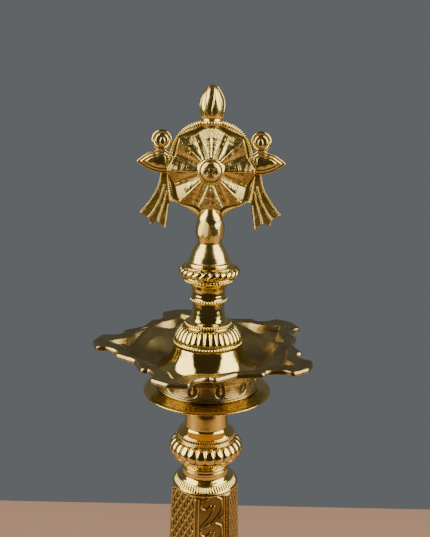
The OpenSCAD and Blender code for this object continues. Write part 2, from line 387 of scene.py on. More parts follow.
def brass(name, bright, dull, shine=0.1, tarnish=0.25, grain=(1, 1, 1), relief=0.28):
    """Polished brass: warm tone shifts, painted shade in recesses, buffing marks."""
    n = Nodes(name)
    place = n.add("ShaderNodeTexCoord").outputs["Object"]
    recess = n.add("ShaderNodeAttribute", attribute_name="recess").outputs["Fac"]
    cloud = n.noise(place, 38.0, 5.0, 0.6)
    speck = n.noise(place, 640.0, 3.0, 0.6)
    tone = n.ramp(cloud, [(0.3, dull), (0.62, bright)])
    film = n.ramp(n.noise(place, 120.0, 6.0, 0.7), [(0.52, grey(0)), (0.78, grey(tarnish))])
    tone = n.mix(film, tone, tuple(c * 0.62 for c in dull))
    # Painted shade: points sunk below their surroundings are mixed towards a near-black olive, with
    # speckled strength; the same mask roughens them.
    shade_mix = n.math("MULTIPLY", recess, n.math("ADD", 0.62, n.math("MULTIPLY", speck, 0.5)), True)
    tone = n.mix(shade_mix, tone, (0.07, 0.05, 0.018))
    n.link(tone, n.shader.inputs["Base Color"])
    n.feed(1.0, n.shader.inputs["Metallic"])
    worn = n.math("MULTIPLY", n.noise(place, 90.0, 6.0, 0.65), 0.12)
    rough = n.math("ADD", n.math("ADD", worn, shine - 0.06), n.math("MULTIPLY", shade_mix, 0.35), True)
    n.link(rough, n.shader.inputs["Roughness"])
    stretch = n.add("ShaderNodeMapping", Scale=grain)
    n.link(place, stretch.inputs["Vector"])
    fine = n.noise(stretch.outputs["Vector"], 420.0, 4.0, 0.6)
    wavy = n.noise(place, 70.0, 3.0, 0.5)
    height = n.math("ADD", n.math("MULTIPLY", fine, 0.16), n.math("MULTIPLY", wavy, 0.8))
    bump = n.add("ShaderNodeBump", Strength=relief, Distance=0.0006)
    n.link(height, bump.inputs["Height"])
    n.link(bump.outputs["Normal"], n.shader.inputs["Normal"])
    return n.material


def rubber(name):
    """Dark washer rubber with a slight mottle."""
    n = Nodes(name)
    place = n.add("ShaderNodeTexCoord").outputs["Object"]
    cloud = n.noise(place, 300.0, 4.0, 0.6)
    n.link(n.ramp(cloud, [(0.3, (0.012, 0.011, 0.01)), (0.75, (0.05, 0.045, 0.04))]),
           n.shader.inputs["Base Color"])
    n.link(n.ramp(cloud, [(0.2, grey(0.55)), (0.8, grey(0.85))]), n.shader.inputs["Roughness"])
    bump = n.add("ShaderNodeBump", Strength=0.4, Distance=0.0003)
    n.link(n.noise(place, 1500.0, 2.0, 0.5), bump.inputs["Height"])
    n.link(bump.outputs["Normal"], n.shader.inputs["Normal"])
    return n.material


TURNED = (1.0, 1.0, 9.0)
polished = brass("polished_brass", (0.92, 0.71, 0.22), (0.80, 0.56, 0.14), 0.09, 0.4, TURNED)
cast_metal = brass("cast_brass", (0.92, 0.71, 0.23), (0.80, 0.56, 0.15), 0.19, 0.4, relief=0.5)
column_metal = brass("column_brass", (0.76, 0.56, 0.18), (0.56, 0.39, 0.10), 0.12, 0.5)
bowl_metal = brass("bowl_brass", (0.55, 0.42, 0.17), (0.37, 0.27, 0.10), 0.26, 0.75, relief=0.4)
stud_metal = brass("stud_brass", (0.80, 0.60, 0.29), (0.64, 0.45, 0.2), 0.22, 0.5, TURNED)
washer_rubber = rubber("washer_rubber")


# ---- base


def foot_relief(theta, r, z):
    """Round lobes on the foot's shoulder and a beaded band above them."""
    outside = r > 84
    lobed = lobes(theta / TAU * 48, z, 7.6, 17.4, 2.6) * 1.3
    beaded = beads(theta, z, 96, 21.0, 1.7) * 0.9
    ticks = 0.35 * window(z, 1.6, 4.6, 0.4) * line(across(theta / TAU * 180), 0.55)
    return outside * (lobed + beaded - ticks)


def petal_relief(theta, r, z):
    """Overlapping lotus petals with a rim, a rib and fine veins."""
    v = np.clip((61.2 - z) / 23.6, 0, 1)
    outside = (r > 56) & (z > 37.0) & (z < 61.4)
    depth = np.zeros_like(r)
    for shift, level in ((0.5, 0.5), (0.0, 1.0)):
        x = across(theta / TAU * 18 + shift)
        half = 0.98 * np.clip(1 - v**3.2, 0, 1) ** 0.5
        edge = half - np.abs(x)
        inside = step_up(edge, 0.0, 0.09)
        rim = line(edge - 0.13, 0.08)
        rib = line(x, 0.07) * window(v, 0.0, 0.8, 0.15)
        veins = 0.16 * np.sin((np.abs(x) * 3.2 + v * 9.0) * TAU) * step_up(edge, 0.2, 0.34)
        depth = np.where(inside > 0.02, level * inside + 0.5 * rim + 0.35 * rib + veins, depth)
    return outside * depth * 1.1


def dome_relief(theta, r, z):
    """Lotus petals, a milled ring and turned lines on the base dome."""
    ring = 0.4 * window(z, 64.8, 68.0, 0.4) * line(across(theta / TAU * 120 + z * 0.12), 0.5)
    lines = 0.25 * turned_lines(z, (26.2, 72.6, 74.4, 89.0, 90.4)) * (r > 40)
    lower = 0.3 * window(z, 28.2, 33.6, 0.5) * line(across(theta / TAU * 150), 0.5) * (r > 72)
    return petal_relief(theta, r, z) - ring * (r > 55) - lines - lower


def make_base():
    """Foot ring, dome and collar of the base."""
    shell = Shell()
    lathe(shell, [(86, 0), (95, 0), (95, 5), (93.4, 6.8), (92.8, 8.6, 1), (91, 13, 1),
                  (87.4, 17.4), (85.6, 18.4), (85.5, 24), (82, 24), (82, 18), (84, 10),
                  (86, 0)],
          foot_relief, [(0.5, 23.4, 0.42, 84.8)], 720, 2.0, 0.25)
    shell.build("base_foot_ring", "base", "base_foot", polished)
    shell = Shell()
    lathe(shell, [(BORE_R, 72), (34, 72), (42, 69, 1), (50, 63, 1), (56, 57.8, 1),
                  (62.4, 52, 1), (67, 45, 1), (68, 36, 1), (73, 32, 1), (79, 28, 1),
                  (82, 24), (85.5, 24), (84.9, 27.4, 1), (80.6, 31.4, 1), (75, 34.2),
                  (72.0, 36.6), (73.0, 41, 1), (72.6, 46, 1), (70, 51.4, 1),
                  (65.8, 56.6, 1), (60.2, 61, 1), (57.4, 63.2), (58.6, 64.4),
                  (58.6, 68.2), (56.8, 69.4), (52, 71.6, 1), (47.6, 75.6, 1),
                  (44.8, 81, 1), (43.4, 87, 1), (43, DOME_TOP), (BORE_R, DOME_TOP), (BORE_R, 72)],
          dome_relief, [(36.4, 69.6, 0.36, 55), (25, 36, 0.5, 72), (70, 91.6, 0.7, 40)],
          720, 2.4, 0.25)
    shell.build("lotus_base_dome", "base", "base_dome", polished)
    shell = Shell()

    def collar_relief(theta, r, z):
        rope = 0.7 * line(across(theta / TAU * 56 + z * 0.16), 0.6) - 0.35
        rope = rope * window(z, 93.2, 99.8, 0.8)
        top = beads(theta, z, 84, 108.8, 1.5) * 0.7
        return (r > 38) * (rope + top)

    lathe(shell, [(BORE_R, DOME_TOP), (43, DOME_TOP), (43.6, 93), (44.3, 95, 1), (44.4, 97, 1),
                  (43.6, 99.6), (40, 100.4), (41.2, 101.4, 1), (41.4, 102.6, 1),
                  (40, 103.8), (39.6, 104.8), (42, 106.2), (42.6, 107.4),
                  (42.6, 110.4), (43.3, 110.8), (43.3, COLUMN_Z0), (BORE_R, COLUMN_Z0), (BORE_R, DOME_TOP)],
          collar_relief, [(92.4, 111.6, 0.32, 38)], 672, 3.0, 0.16)
    shell.build("turned_collar", "base", "base_collar", polished)


# ---- column


SCROLL_OUTER = [(3.4, 0, 1), (9.0, -3.6, 1), (10.6, -9.8, 1), (8.7, -16.4, 1), (3.9, -23.0, 1),
                (-1.9, -28.2, 1), (-7.4, -32.4, 1), (-10.4, -37.0)]
SCROLL_INNER = [(1.9, -10.0, 1), (0.5, -16.2, 1), (-3.6, -22.4, 1), (-8.4, -27.4, 1),
                (-10.6, -31.4)]
SCROLL_HEAD = [(-2.8, -0.4, 1), (-8.4, -3.2, 1), (-10.8, -7.4, 1), (-10.0, -11.0, 1),
               (-6.8, -12.8, 1), (-3.4, -11.6, 1), (-1.6, -9.4)]
SCROLL_LEAF = [(6.4, -24.0, 1), (9.4, -22.0, 1), (10.8, -25.4)]


def edge_distance(path, x, y):
    """Distance from each point to a densely sampled line."""
    return np.hypot(x[..., None] - path[:, 0], y[..., None] - path[:, 1]).min(axis=-1)


def scroll_panel(x, y):
    """Double-ridged scrolls one above another on a hatched ground, in mm."""
    pitch = 27.6
    v = y % pitch
    ridge = np.zeros_like(x)
    for points, wide, high in ((SCROLL_OUTER, 0.85, 1.0), (SCROLL_INNER, 0.8, 0.95),
                               (SCROLL_HEAD, 0.85, 1.0), (SCROLL_LEAF, 0.7, 0.7)):
        path = resample(curve(points), 0.5)
        for step in (0, 1, 2):
            off = edge_distance(path, x, v - step * pitch)
            ridge = np.maximum(ridge, high * line(off, wide))
    hatch = 0.1 * np.sin((x * 0.7 + y * 1.1) * 4.2) * (1 - ridge)
    return ridge + hatch


def lattice_panel(x, y):
    """Raised diamond lattice of rope-like bars with a knob in each diamond."""
    a = across(x / 7.2 + y / 12.4)
    b = across(x / 7.2 - y / 12.4)
    bars = np.maximum(line(np.abs(a) - 1, 0.3), line(np.abs(b) - 1, 0.3))
    over = 0.18 * np.cos((x / 7.2 + y / 12.4) * TAU) * bars
    knob = 0.6 * line(np.hypot(a, b), 0.36)
    ticks = 0.12 * np.sin(y * 4.6 + x * 1.5)
    return 0.95 * bars + over + knob + ticks * bars


def face_relief(side, x, y, half, height):
    """Relief of one side of the column, below its corner edges."""
    u = x / half
    if side % 2:
        inside = 1 - step_up(np.abs(u), 0.86, 0.9)
        field = lattice_panel(x, y) * inside + 0.9 * line(np.abs(x) - 0.93 * half, 0.4)
    else:
        inside = 1 - step_up(np.abs(u + 0.02), 0.64, 0.68)
        scroll = scroll_panel(x / half * 17.2, y - height + 1.0)
        bars = line(x + 0.78 * half, 0.62) + line(x - 0.71 * half, 0.5)
        strip = line(x - 0.845 * half, 0.6) * (0.3 + 0.7 * np.abs(np.sin(y * 0.9)))
        ticks = 0.45 * window(u, -0.95, -0.84, 0.03) * line(across(y / 1.5 + u * 2), 0.5)
        field = scroll * inside + bars + strip + ticks
    border = np.maximum(step_up(np.abs(u), 0.955, 0.975), 1 - window(y, 4.0, height - 0.4, 0.5))
    return np.where(border > 0.5, 0.0, np.clip(field, -0.12, 1.1) - 1.05) * 0.95


def make_column():
    """Six-sided column with lattice and scroll panels, and its cap."""
    height = COLUMN_Z1 - COLUMN_Z0
    per_side = 96
    rows, depth_rows = [], []
    flat_step = np.linspace(-1, 1, per_side, endpoint=False)
    for zz in np.linspace(0, height, 440):
        radius = COLUMN_R0 + (COLUMN_R1 - COLUMN_R0) * zz / height
        limit = 30.7 + (height - zz) * 0.5
        ring, deep = [], []
        for side in range(6):
            middle = COLUMN_TURN + math.radians(30 + 60 * side)
            half = radius / 2
            x = flat_step * half
            d = face_relief(side, x, np.full_like(x, zz), half, height)
            corner = 0.35 * line(np.abs(flat_step) - 1, 0.025)
            inset = radius * math.cos(math.radians(30)) + d - corner
            px = np.cos(middle) * inset - np.sin(middle) * x
            py = np.sin(middle) * inset + np.cos(middle) * x
            keep = np.minimum(1, limit / np.hypot(px, py))
            ring.append(np.stack([px * keep, py * keep, np.full_like(x, zz)], -1))
            deep.append(d)
        rows.append(np.vstack(ring))
        depth_rows.append(np.concatenate(deep))
    p, depth = np.array(rows), np.array(depth_rows)
    p[..., 2] += COLUMN_Z0
    # Painted shade: the sunk ground between scrolls and lattice bars is darkened, more where it lies
    # deeper.
    recess = np.clip(recess_of(depth, 4, 1.4) + 0.62 * step_up(-depth, 0.3, 0.9), 0, 1)
    theta = np.arctan2(p[0, :, 1], p[0, :, 0])
    lid = np.stack([BORE_R * np.cos(theta), BORE_R * np.sin(theta)], -1)
    bottom = np.c_[lid, np.full(len(theta), COLUMN_Z0)][None]
    top = np.c_[lid, np.full(len(theta), COLUMN_Z1)][None]
    shell = Shell()
    shell.grid(np.concatenate([bottom, p, top]),
               np.vstack([recess[:1] * 0, recess, recess[:1] * 0]), wrap_rows=True)
    shell.build("engraved_column", "column", "hex_column", column_metal)

    def cap_relief(theta, r, z):
        milled = window(z, 313.8, 318.0, 0.4) * line(across(theta / TAU * 66 + z * 0.05), 0.42)
        edges = turned_lines(z, (313.2, 318.6), 0.2)
        return (r > 24) * (-0.5 * milled - 0.35 * edges)

    shell = Shell()
    lathe(shell, [(BORE_R, COLUMN_Z1), (30.6, COLUMN_Z1), (31.4, 310.4, 1), (31.5, 311.4, 1),
                  (31.1, 313), (30.4, 313.6), (29.6, 315, 1), (27.8, 317.1, 1),
                  (25.6, 319, 1), (23.8, 320.4, 1), (22.6, 321.6, 1), (22.2, 322.8),
                  (22.2, CAP_TOP), (BORE_R, CAP_TOP), (BORE_R, COLUMN_Z1)],
          cap_relief, [(310, 319, 0.26, 25)], 660, 1.2, 0.16, gain=3.0)
    shell.build("column_cap_ring", "column", "column_cap", polished)


# ---- knob


def knob_relief(theta, r, z):
    """Milled ring, long lobes and a chased underside."""
    slanted = across(theta / TAU * 74 + z * 0.09)
    milled = -0.55 * window(z, 360.7, 363.8, 0.35) * line(slanted, 0.42)
    turns = theta / TAU * 24
    lobe = 1.7 * lobes(turns, z, 344.4, 358.8, 1.6) - 1.7 * window(z, 344.2, 358.9, 0.3)
    under = window(z, 333.4, 344.0, 0.6) * (r > 21.8)
    chase = across(turns)
    marks = line(np.abs(chase) - 0.55 * step_up(z, 334, 343), 0.12) + 0.7 * line(chase, 0.1)
    small = 0.6 * line(across(theta / TAU * 96 + z * 0.2), 0.3) * (np.abs(chase) < 0.5)
    rings = turned_lines(z, (329.4, 332.0, 364.6, 370.8), 0.2)
    return milled + lobe * (r > 27) - under * (0.3 * marks + 0.14 * small) - 0.2 * rings


def make_knob():
    """Lobed knob with its neck, and the drip flange on top."""
    shell = Shell()
    lathe(shell, [(BORE_R, CAP_TOP), (22.5, CAP_TOP), (22.5, 328.2), (21.4, 328.8),
                  (21.4, 330), (21.9, 330.4), (21.9, 331.2), (21.4, 331.6),
                  (22, 332.4), (25.4, 335, 1), (29.2, 338.5, 1), (32.4, 341.8, 1),
                  (34.3, 345.2, 1), (34.9, 348.6, 1), (34.4, 352, 1), (32.5, 355.2, 1),
                  (29.3, 358.4), (28.3, 359), (28.3, 360), (27.4, 360.6), (27.5, 361.4),
                  (27.2, 363.6), (26.3, 364.2), (26.2, 365, 1), (25.2, 366, 1),
                  (23.6, 367.4, 1), (21.9, 368.7, 1), (20.8, 370.2, 1), (20.6, 372, 1),
                  (20.3, 384), (19.7, NECK_TOP), (BORE_R, NECK_TOP),
                  (BORE_R, CAP_TOP)],
          knob_relief, [(333, 359, 0.32, 21.8), (359, 366, 0.22, 24)], 720, 1.2, 0.13)
    shell.build("lobed_knob", "knob", "upper_knob", polished)

    def flange_relief(theta, r, z):
        cuts = turned_lines(r, (47.4, 49.6, 51.8, 54.0, 56.0), 0.28) * (z > 405.9)
        under = turned_lines(r, (24, 30, 36, 42, 48, 54), 0.3) * (z < 405.9)
        return -0.3 * cuts - 0.25 * under

    shell = Shell()
    lathe(shell, [(BORE_R, NECK_TOP), (19.7, NECK_TOP), (20.4, 394.6, 1), (23, 397.6, 1),
                  (28, 400.7, 1), (36, 403.3, 1), (46, 404.9, 1), (58.8, 405.7),
                  (59.5, 406.3), (59.3, 407.2), (56.5, 408.5, 1), (52, 409.7, 1),
                  (46, SEAT_Z), (43, SEAT_Z), (41.6, 408), (36, 406.4), (28, 403.8),
                  (22.6, 400.6), (19.6, 397.6), (17, 397.6), (17, SEAT_Z),
                  (BORE_R, SEAT_Z), (BORE_R, NECK_TOP)],
          flange_relief, [(405, 411.2, 0.3, 44), (392, 405, 0.5, 19)], 300, 1.4, 0.15)
    shell.build("drip_flange_plate", "knob", "drip_flange", polished)


# ---- studs


def thread(node, body, radius, z0, z1, pitch=1.5):
    """Threaded stud with a real helical thread and chamfered ends."""
    rows = int((z1 - z0) / pitch * 10)
    z = np.linspace(z0, z1, rows)[:, None]
    theta = whole_turn(64)[None, :]
    wave = np.abs(across(z / pitch - theta / TAU))
    groove = 0.9 * step_up(wave, 0.12, 0.92)
    ends = np.clip(np.minimum(z - z0, z1 - z) / 1.4, 0, 1)
    r = (radius - groove) * (0.82 + 0.18 * ends) + 0 * theta
    r[0] = r[-1] = 0
    p = np.stack([r * np.cos(theta), r * np.sin(theta), z + 0 * theta], -1)
    shell = Shell()
    # Painted shade in the thread's grooves.
    shell.grid(p, np.clip(groove * 0.8, 0, 1) + 0 * theta)
    shell.build(node + "_thread", body, node, stud_metal)


def make_studs():
    """The five threaded studs."""
    thread("column_stud", "column_lift", 5, 73, 128)
    thread("knob_stud", "knob_lift", 5, 295.6, 338.5)
    thread("bowl_stud", "knob", 5, 366, 463)
    thread("spindle_stud", "bell", 5, 464, 494)
    thread("finial_stud", "finial_lift", 4, 508, 544)


# ---- bowl


HALF_RIM = [(63.9, 46.4, 1), (67.6, 43.0, 1), (72.4, 39.6, 1), (77.6, 35.8, 1), (80.6, 33.6, 1),
            (81.5, 31.4, 1), (81.1, 29.2, 1), (80.2, 27.4), (82.2, 24.0, 1), (85.2, 21.2, 1),
            (89, 19.0, 1), (93.6, 17.3, 1), (98.4, 17.1, 1), (101.2, 16.2), (103.6, 10.6, 1),
            (104.9, 5.4, 1), (106.2, 1.2, 1), (106.3, 0)]
HALF_TROUGH = [(59.2, 43.0, 1), (64.8, 36.6, 1), (68.6, 30.8, 1), (71.4, 25.6, 1), (73.4, 20, 1),
               (75.6, 14.6, 1), (79.0, 9.8, 1), (84.0, 5.8, 1), (89.6, 2.4, 1), (92.6, 0.3)]


def star_ring(half, per_spout):
    """Closed outline of five spouts with evenly spaced points along it."""
    path = curve(half)
    x, y = np.vstack([path * (1, -1), path[-2::-1]]).T
    rings = []
    for k in range(5):
        a = SPOUT_TURN + k * SPOUT_SECTOR
        c, s = math.cos(a), math.sin(a)
        rings.append(spaced(np.c_[x * c - y * s, x * s + y * c], per_spout, endpoint=False))
    return np.vstack(rings)


def off_spout(flat):
    """How far round each point is from the nearest spout: 0 on it, 1 in a valley."""
    half = SPOUT_SECTOR / 2
    angle = np.arctan2(flat[:, 1], flat[:, 0]) - SPOUT_TURN
    return np.abs((angle + half) % SPOUT_SECTOR - half) / half


def drum_relief(theta, z):
    """Hanging drops in sunk ovals between hatched swags, on the bowl's drum."""
    x = across(theta / TAU * 12)
    v = (z - 414.6) / 12.4
    drop = line(np.hypot(x * 1.1, (v - 0.5) * 1.1), 0.15) * 1.3
    stem = line(x, 0.07) * window(v, 0.45, 1.02, 0.12)
    oval = np.hypot(x / 0.4, (v - 0.6) / 0.5)
    sunk = -0.75 * (1 - step_up(oval, 0.8, 1.0))
    rim = 0.35 * line(oval - 1.08, 0.1)
    swag = np.hypot(np.abs(x) - 1, (v - 1.1) * 0.9)
    hatch = 0.22 * np.sin(swag * 46) * window(swag, 0.16, 0.98, 0.06)
    hatch = hatch * step_up(oval, 1.05, 1.2) * window(v, 0.06, 1.0, 0.1)
    edge = 0.3 * line(swag - 1.0, 0.06) * step_up(oval, 1.05, 1.2) * window(v, 0.05, 1.0, 0.1)
    return (sunk + drop + stem + rim + hatch + edge) * window(v, -0.02, 1.04, 0.06)


def make_bowl():
    """Five-spout bowl with its drum, made as one closed sheet of points."""
    per = 168
    cols = per * 5
    rim = star_ring(HALF_RIM, per)
    trough = star_ring(HALF_TROUGH, per)
    theta = np.unwrap(np.arctan2(rim[:, 1], rim[:, 0]))
    even = theta[0] + whole_turn(cols)
    circle = np.c_[np.cos(even), np.sin(even)]
    rows, deep = [], []

    def ring_row(radius, z, shade=0.0):
        rows.append(np.c_[circle * np.reshape(radius, (-1, 1)), np.zeros(cols) + z])
        deep.append(np.zeros(cols) + shade)

    for r, z in ((BORE_R, SEAT_Z), (11, SEAT_Z), (17, SEAT_Z), (17, 417), (17.4, 423.4),
                 (18.6, 424.2), (30, 424.2), (41, 424.2), (43, 423), (43.8, 419),
                 (44.6, 413.2), (44.8, 412.0), (45.4, 411.8), (47.6, 411.8), (48.2, 412.2),
                 (48.3, 412.9), (48.1, 413.5), (47.4, 413.9), (46.9, 414.3)):
        # Painted shade on the rows under the bowl and round its seat.
        ring_row(r, z, 0.35 if r < 44 else 0.0)
    drum = curve([(46.8, 414.6), (46.3, 417, 1), (46.2, 421, 1), (46.6, 425, 1), (47.3, 427.4)])
    drum = resample(drum, 0.27)
    for r, z in drum:
        depth = drum_relief(even, np.full(cols, z))
        # Painted shade over the drum, deeper in its sunk ovals and none on the raised drops.
        ring_row(r + depth * 0.62, z, np.clip(0.2 - depth * 1.3, 0, 1))
    start = rows[-1][:, :2]
    for t in np.linspace(0, 1, 26)[1:]:
        flat = start * (1 - t) + rim * t
        radius = np.hypot(flat[:, 0], flat[:, 1])
        z = np.interp(radius, [47, 53, 60, 66, 72, 79, 90, 108],
                      [427.4, 430.6, 434.2, 437.8, 442, 447.2, 448.5, 449.0])
        rows.append(np.c_[flat, z])
        # Painted shade along the crease where the drum meets the bowl wall.
        deep.append(np.full(cols, 0.25 * line(t - 0.02, 0.06)))
    centre = np.hypot(rim[:, 0], rim[:, 1])
    inward = rim * (1 - 1.7 / centre[:, None])
    top_z = RIM_Z - 0.9 * step_up(105 - centre, 0, 24)
    low = rows[-1][:, 2]
    for f, out_by in ((0.1, 1.0), (0.4, 0.96), (0.66, 0.82), (0.86, 0.52), (1.0, 0.0)):
        flat = inward * (1 - out_by) + rim * out_by
        rows.append(np.c_[flat, low * (1 - f) + (top_z - 0.05) * f])
        deep.append(np.zeros(cols))
    for t in np.linspace(0, 1, 13)[1:]:
        flat = inward * (1 - t) + trough * t
        groove = 0.45 * (line(t - 0.3, 0.07) + line(t - 0.55, 0.07))
        bow = 0.5 * math.sin(t * math.pi)
        drop = 0.9 * step_up(t, 0.86, 1.0)
        rows.append(np.c_[flat, top_z + bow * 0.4 - groove - drop])
        # Painted shade in the rim's two grooves.
        deep.append(np.clip(groove * 1.4 + 0 * flat[:, 0], 0, 1))
    edge = rows[-1]
    spread = off_spout(rim)
    inner = circle * 46.5
    for t in np.linspace(0, 1, 34)[1:]:
        flat = edge[:, :2] * (1 - t) + inner * t
        radius = np.hypot(flat[:, 0], flat[:, 1])
        floor = np.interp(radius, [46, 52, 60, 70, 80, 93], [430, 431.4, 435.4, 441.2, 445.6, 450])
        ridge = np.interp(radius, [46, 49, 55, 62, 70, 80, 93],
                          [430, 432.2, 437.6, 444.4, 449.6, 451.6, 451.8])
        z = floor + (ridge - floor) * (0.5 - 0.5 * np.cos(math.pi * off_spout(flat))) ** 1.3
        z = z * step_up(t, 0.0, 0.12) + edge[:, 2] * (1 - step_up(t, 0.0, 0.12))
        rows.append(np.c_[flat, np.minimum(z, edge[:, 2])])
        # Painted shade inside the bowl, darker towards the bottom and in the spout troughs.
        deep.append(np.full(cols, 0.1 + 0.25 * (1 - t)) * (1 - spread * 0.6))
    for r in (45.6, 38, 30, 22, 14, 9, BORE_R):
        # Painted shade on the bowl's floor.
        ring_row(r, FLOOR_Z, 0.35)
    shell = Shell()
    shell.grid(np.stack(rows), np.clip(np.stack(deep), 0, 1), wrap_rows=True)
    shell.build("star_oil_bowl", "bowl", "lamp_bowl", bowl_metal)
    shell = Shell()
    lathe(shell, [(BORE_R, FLOOR_Z), (14.6, FLOOR_Z), (15, 430.3), (15, 431.7), (14.6, BELL_Z),
                  (BORE_R, BELL_Z), (BORE_R, FLOOR_Z)], columns=128, radius=0.12)
    shell.build("oil_seal_washer", "bell_lift", "oil_washer", washer_rubber)


# ---- bell


def bell_relief(theta, r, z):
    """Convex reeds between two beaded rings, over a plain skirt."""
    reed = 1.35 * lobes(theta / TAU * 30, z, 456.4, 470.4, 1.8)
    reed = reed - 1.35 * window(z, 456.2, 470.7, 0.3)
    lower = 0.7 * beads(theta, z, 66, 454.7, 1.2)
    upper = 0.6 * beads(theta, z, 50, 472.4, 1.1)
    band = -0.16 * turned_lines(z, (452.4, 451.0))
    return (r > 17) * (reed * (r > 20) + lower * (r > 28) + upper * (r < 24) + band)


def spindle_relief(theta, r, z):
    """Beaded ring, rope ring and the slanted lobes of the disc."""
    beaded = 0.7 * beads(theta, z, 38, 494.7, 1.25)
    rope = 0.5 * line(across(theta / TAU * 52 + z * 0.3), 0.55) * window(z, 512.0, 514.0, 0.4)
    slant = theta / TAU * 22 - (z - 516) * 0.09
    lobed = 1.7 * lobes(slant, z, 516.0, 526.0, 2.2) - 1.7 * window(z, 515.8, 526.1, 0.3)
    rings = -0.16 * turned_lines(z, (479.6, 481.2, 500.2, 505.0, 508.8))
    return (r > 13) * (beaded * (r < 19) + rope * (r > 20) + lobed * (r > 21.4)
                       + rings * (r < 19))


def make_bell():
    """Ribbed bell over the bowl, and the spindle above it."""
    shell = Shell()
    lathe(shell, [(BORE_R, BELL_Z), (15, BELL_Z), (15, 452), (19, 455, 1), (24, 455),
                  (28, 451, 1), (30.5, 440.4, 1), (36, 433.5, 1), (43, FLOOR_Z), (46, FLOOR_Z),
                  (45.8, 430.9), (43.4, 432.0, 1), (39.8, 434.6, 1), (35.8, 439.4, 1),
                  (33, 445.4, 1), (31.4, 450.2, 1), (30.7, 452.6), (30.8, 453.4),
                  (31.4, 454.7, 1), (30.9, 455.9), (31.1, 456.6), (30.9, 459.8, 1),
                  (29.8, 462.6, 1), (27.4, 466.6, 1), (23.8, 469.8, 1), (21.9, 470.8),
                  (20.8, 471.4), (21.3, 472.4, 1), (20.2, 473.6, 1), (17.2, 474.4),
                  (16.4, BELL_TOP), (BORE_R, BELL_TOP), (BORE_R, BELL_Z)],
          bell_relief, [(453, 474, 0.28, 19)], 750, 1.3, 0.14)
    shell.build("ribbed_bell", "bell", "bell_dome", polished)
    shell = Shell()
    lathe(shell, [(BORE_R, BELL_TOP), (16.4, BELL_TOP), (15.8, 477.6, 1), (15.2, 483, 1),
                  (14.8, 487, 1), (14.8, 492.6), (15.8, 493.3), (16.6, 494.7, 1),
                  (15.8, 496.1), (15.4, 497), (15.5, 499.2, 1), (15.2, 501, 1),
                  (15.3, 504, 1), (16, 506.6, 1), (17.4, 509.2, 1), (19.4, 511.2),
                  (21.4, 511.9), (22.4, 513.0, 1), (21.8, 514.1), (23.2, 514.9, 1),
                  (25.8, 516.9, 1), (27.4, 518.9, 1), (27.9, 521.0, 1),
                  (27.3, 523.2, 1), (25.5, 525.1, 1), (23, 526.4, 1), (21, DISC_TOP),
                  (PIN_BORE_R, DISC_TOP), (PIN_BORE_R, 507), (BORE_R, 506),
                  (BORE_R, BELL_TOP)],
          spindle_relief, [(493, 496.6, 0.26, 14), (513.8, 527, 0.24, 19)],
          720, 1.3, 0.13)
    shell.build("turned_spindle", "bell", "spindle", polished)


# ---- finial


def stem_relief(theta, r, z):
    """Lotus bud stem with soft sepals, veined like a leaf."""
    x = across(theta / TAU * 4 + 0.75)
    v = (z - 550) / 20.0
    width = np.clip(1 - np.abs(v - 0.42) ** 2 * 2.4, 0.12, 1) * 0.92
    edge = width - np.abs(x)
    leaf = step_up(edge, 0.0, 0.3) * window(v, 0.02, 0.98, 0.2)
    veins = np.sin((np.abs(x) * 2.6 - v * 7.4) * TAU * 1.3)
    bud = 0.3 * leaf + 0.2 * veins * leaf * step_up(edge, 0.14, 0.3)
    rib = 0.15 * line(x, 0.1) * leaf
    ring = -0.22 * turned_lines(z, (530.6, 546.8))
    return (r > 8) * (bud + rib + ring)


def flame_relief(theta, r, z):
    """Broad pointed petals, one inside another, closing round the flame bud."""
    v = (z - 656.0) / 28.5
    depth = np.zeros_like(r)
    for shift, top, level in ((0.917, 1.05, 0.1), (0.417, 0.96, 0.5)):
        x = across(theta / TAU * 5 + shift)
        half = 0.94 * np.clip(1 - np.clip(v, 0, 2) / top, 0, 1) ** 0.6
        half = half * (0.8 + 0.2 * step_up(v, 0.0, 0.3))
        edge = half - np.abs(x)
        inside = step_up(edge, 0.0, 0.12)
        nested = line(edge - 0.24, 0.05) * step_up(half, 0.3, 0.6) * (level > 0.2)
        body = level * inside - 0.3 * nested
        depth = np.where(inside > 0.02, body, depth)
    collar = 0.5 * beads(theta, z, 20, 652.4, 1.4)
    return (r > 1.2) * (depth * window(v, 0.0, 1.1, 0.06) * 0.9 + collar * (v < 0))


def polar_sheet(shell, outline, front, back, cols, rings):
    """Closed shell between two height fields over an outline round the origin.

    outline(angle) gives the edge radius; front and back give y and the painted shade at (x, z).
    """
    angle = whole_turn(cols)
    edge = outline(angle)
    rows, deep = [], []
    steps = np.linspace(0, 1, rings) ** 0.92
    for height, order in ((front, steps), (back, steps[::-1])):
        for t in order:
            x, z = np.cos(angle) * edge * t, np.sin(angle) * edge * t
            y, d = height(x, z)
            rows.append(np.stack([x, y, z], -1))
            deep.append(d)
    shell.grid(np.stack(rows), np.clip(np.stack(deep), 0, 1))


def hand_worked(x, z):
    """Slight unevenness of a surface finished by hand."""
    wide = np.sin(0.9 * x + 0.5 * z + 1) * np.sin(0.8 * z - 0.4 * x)
    fine = np.sin(2.1 * x - 1.3 * z) * np.sin(1.9 * z + 1.1 * x + 2)
    return 0.09 * wide + 0.012 * fine


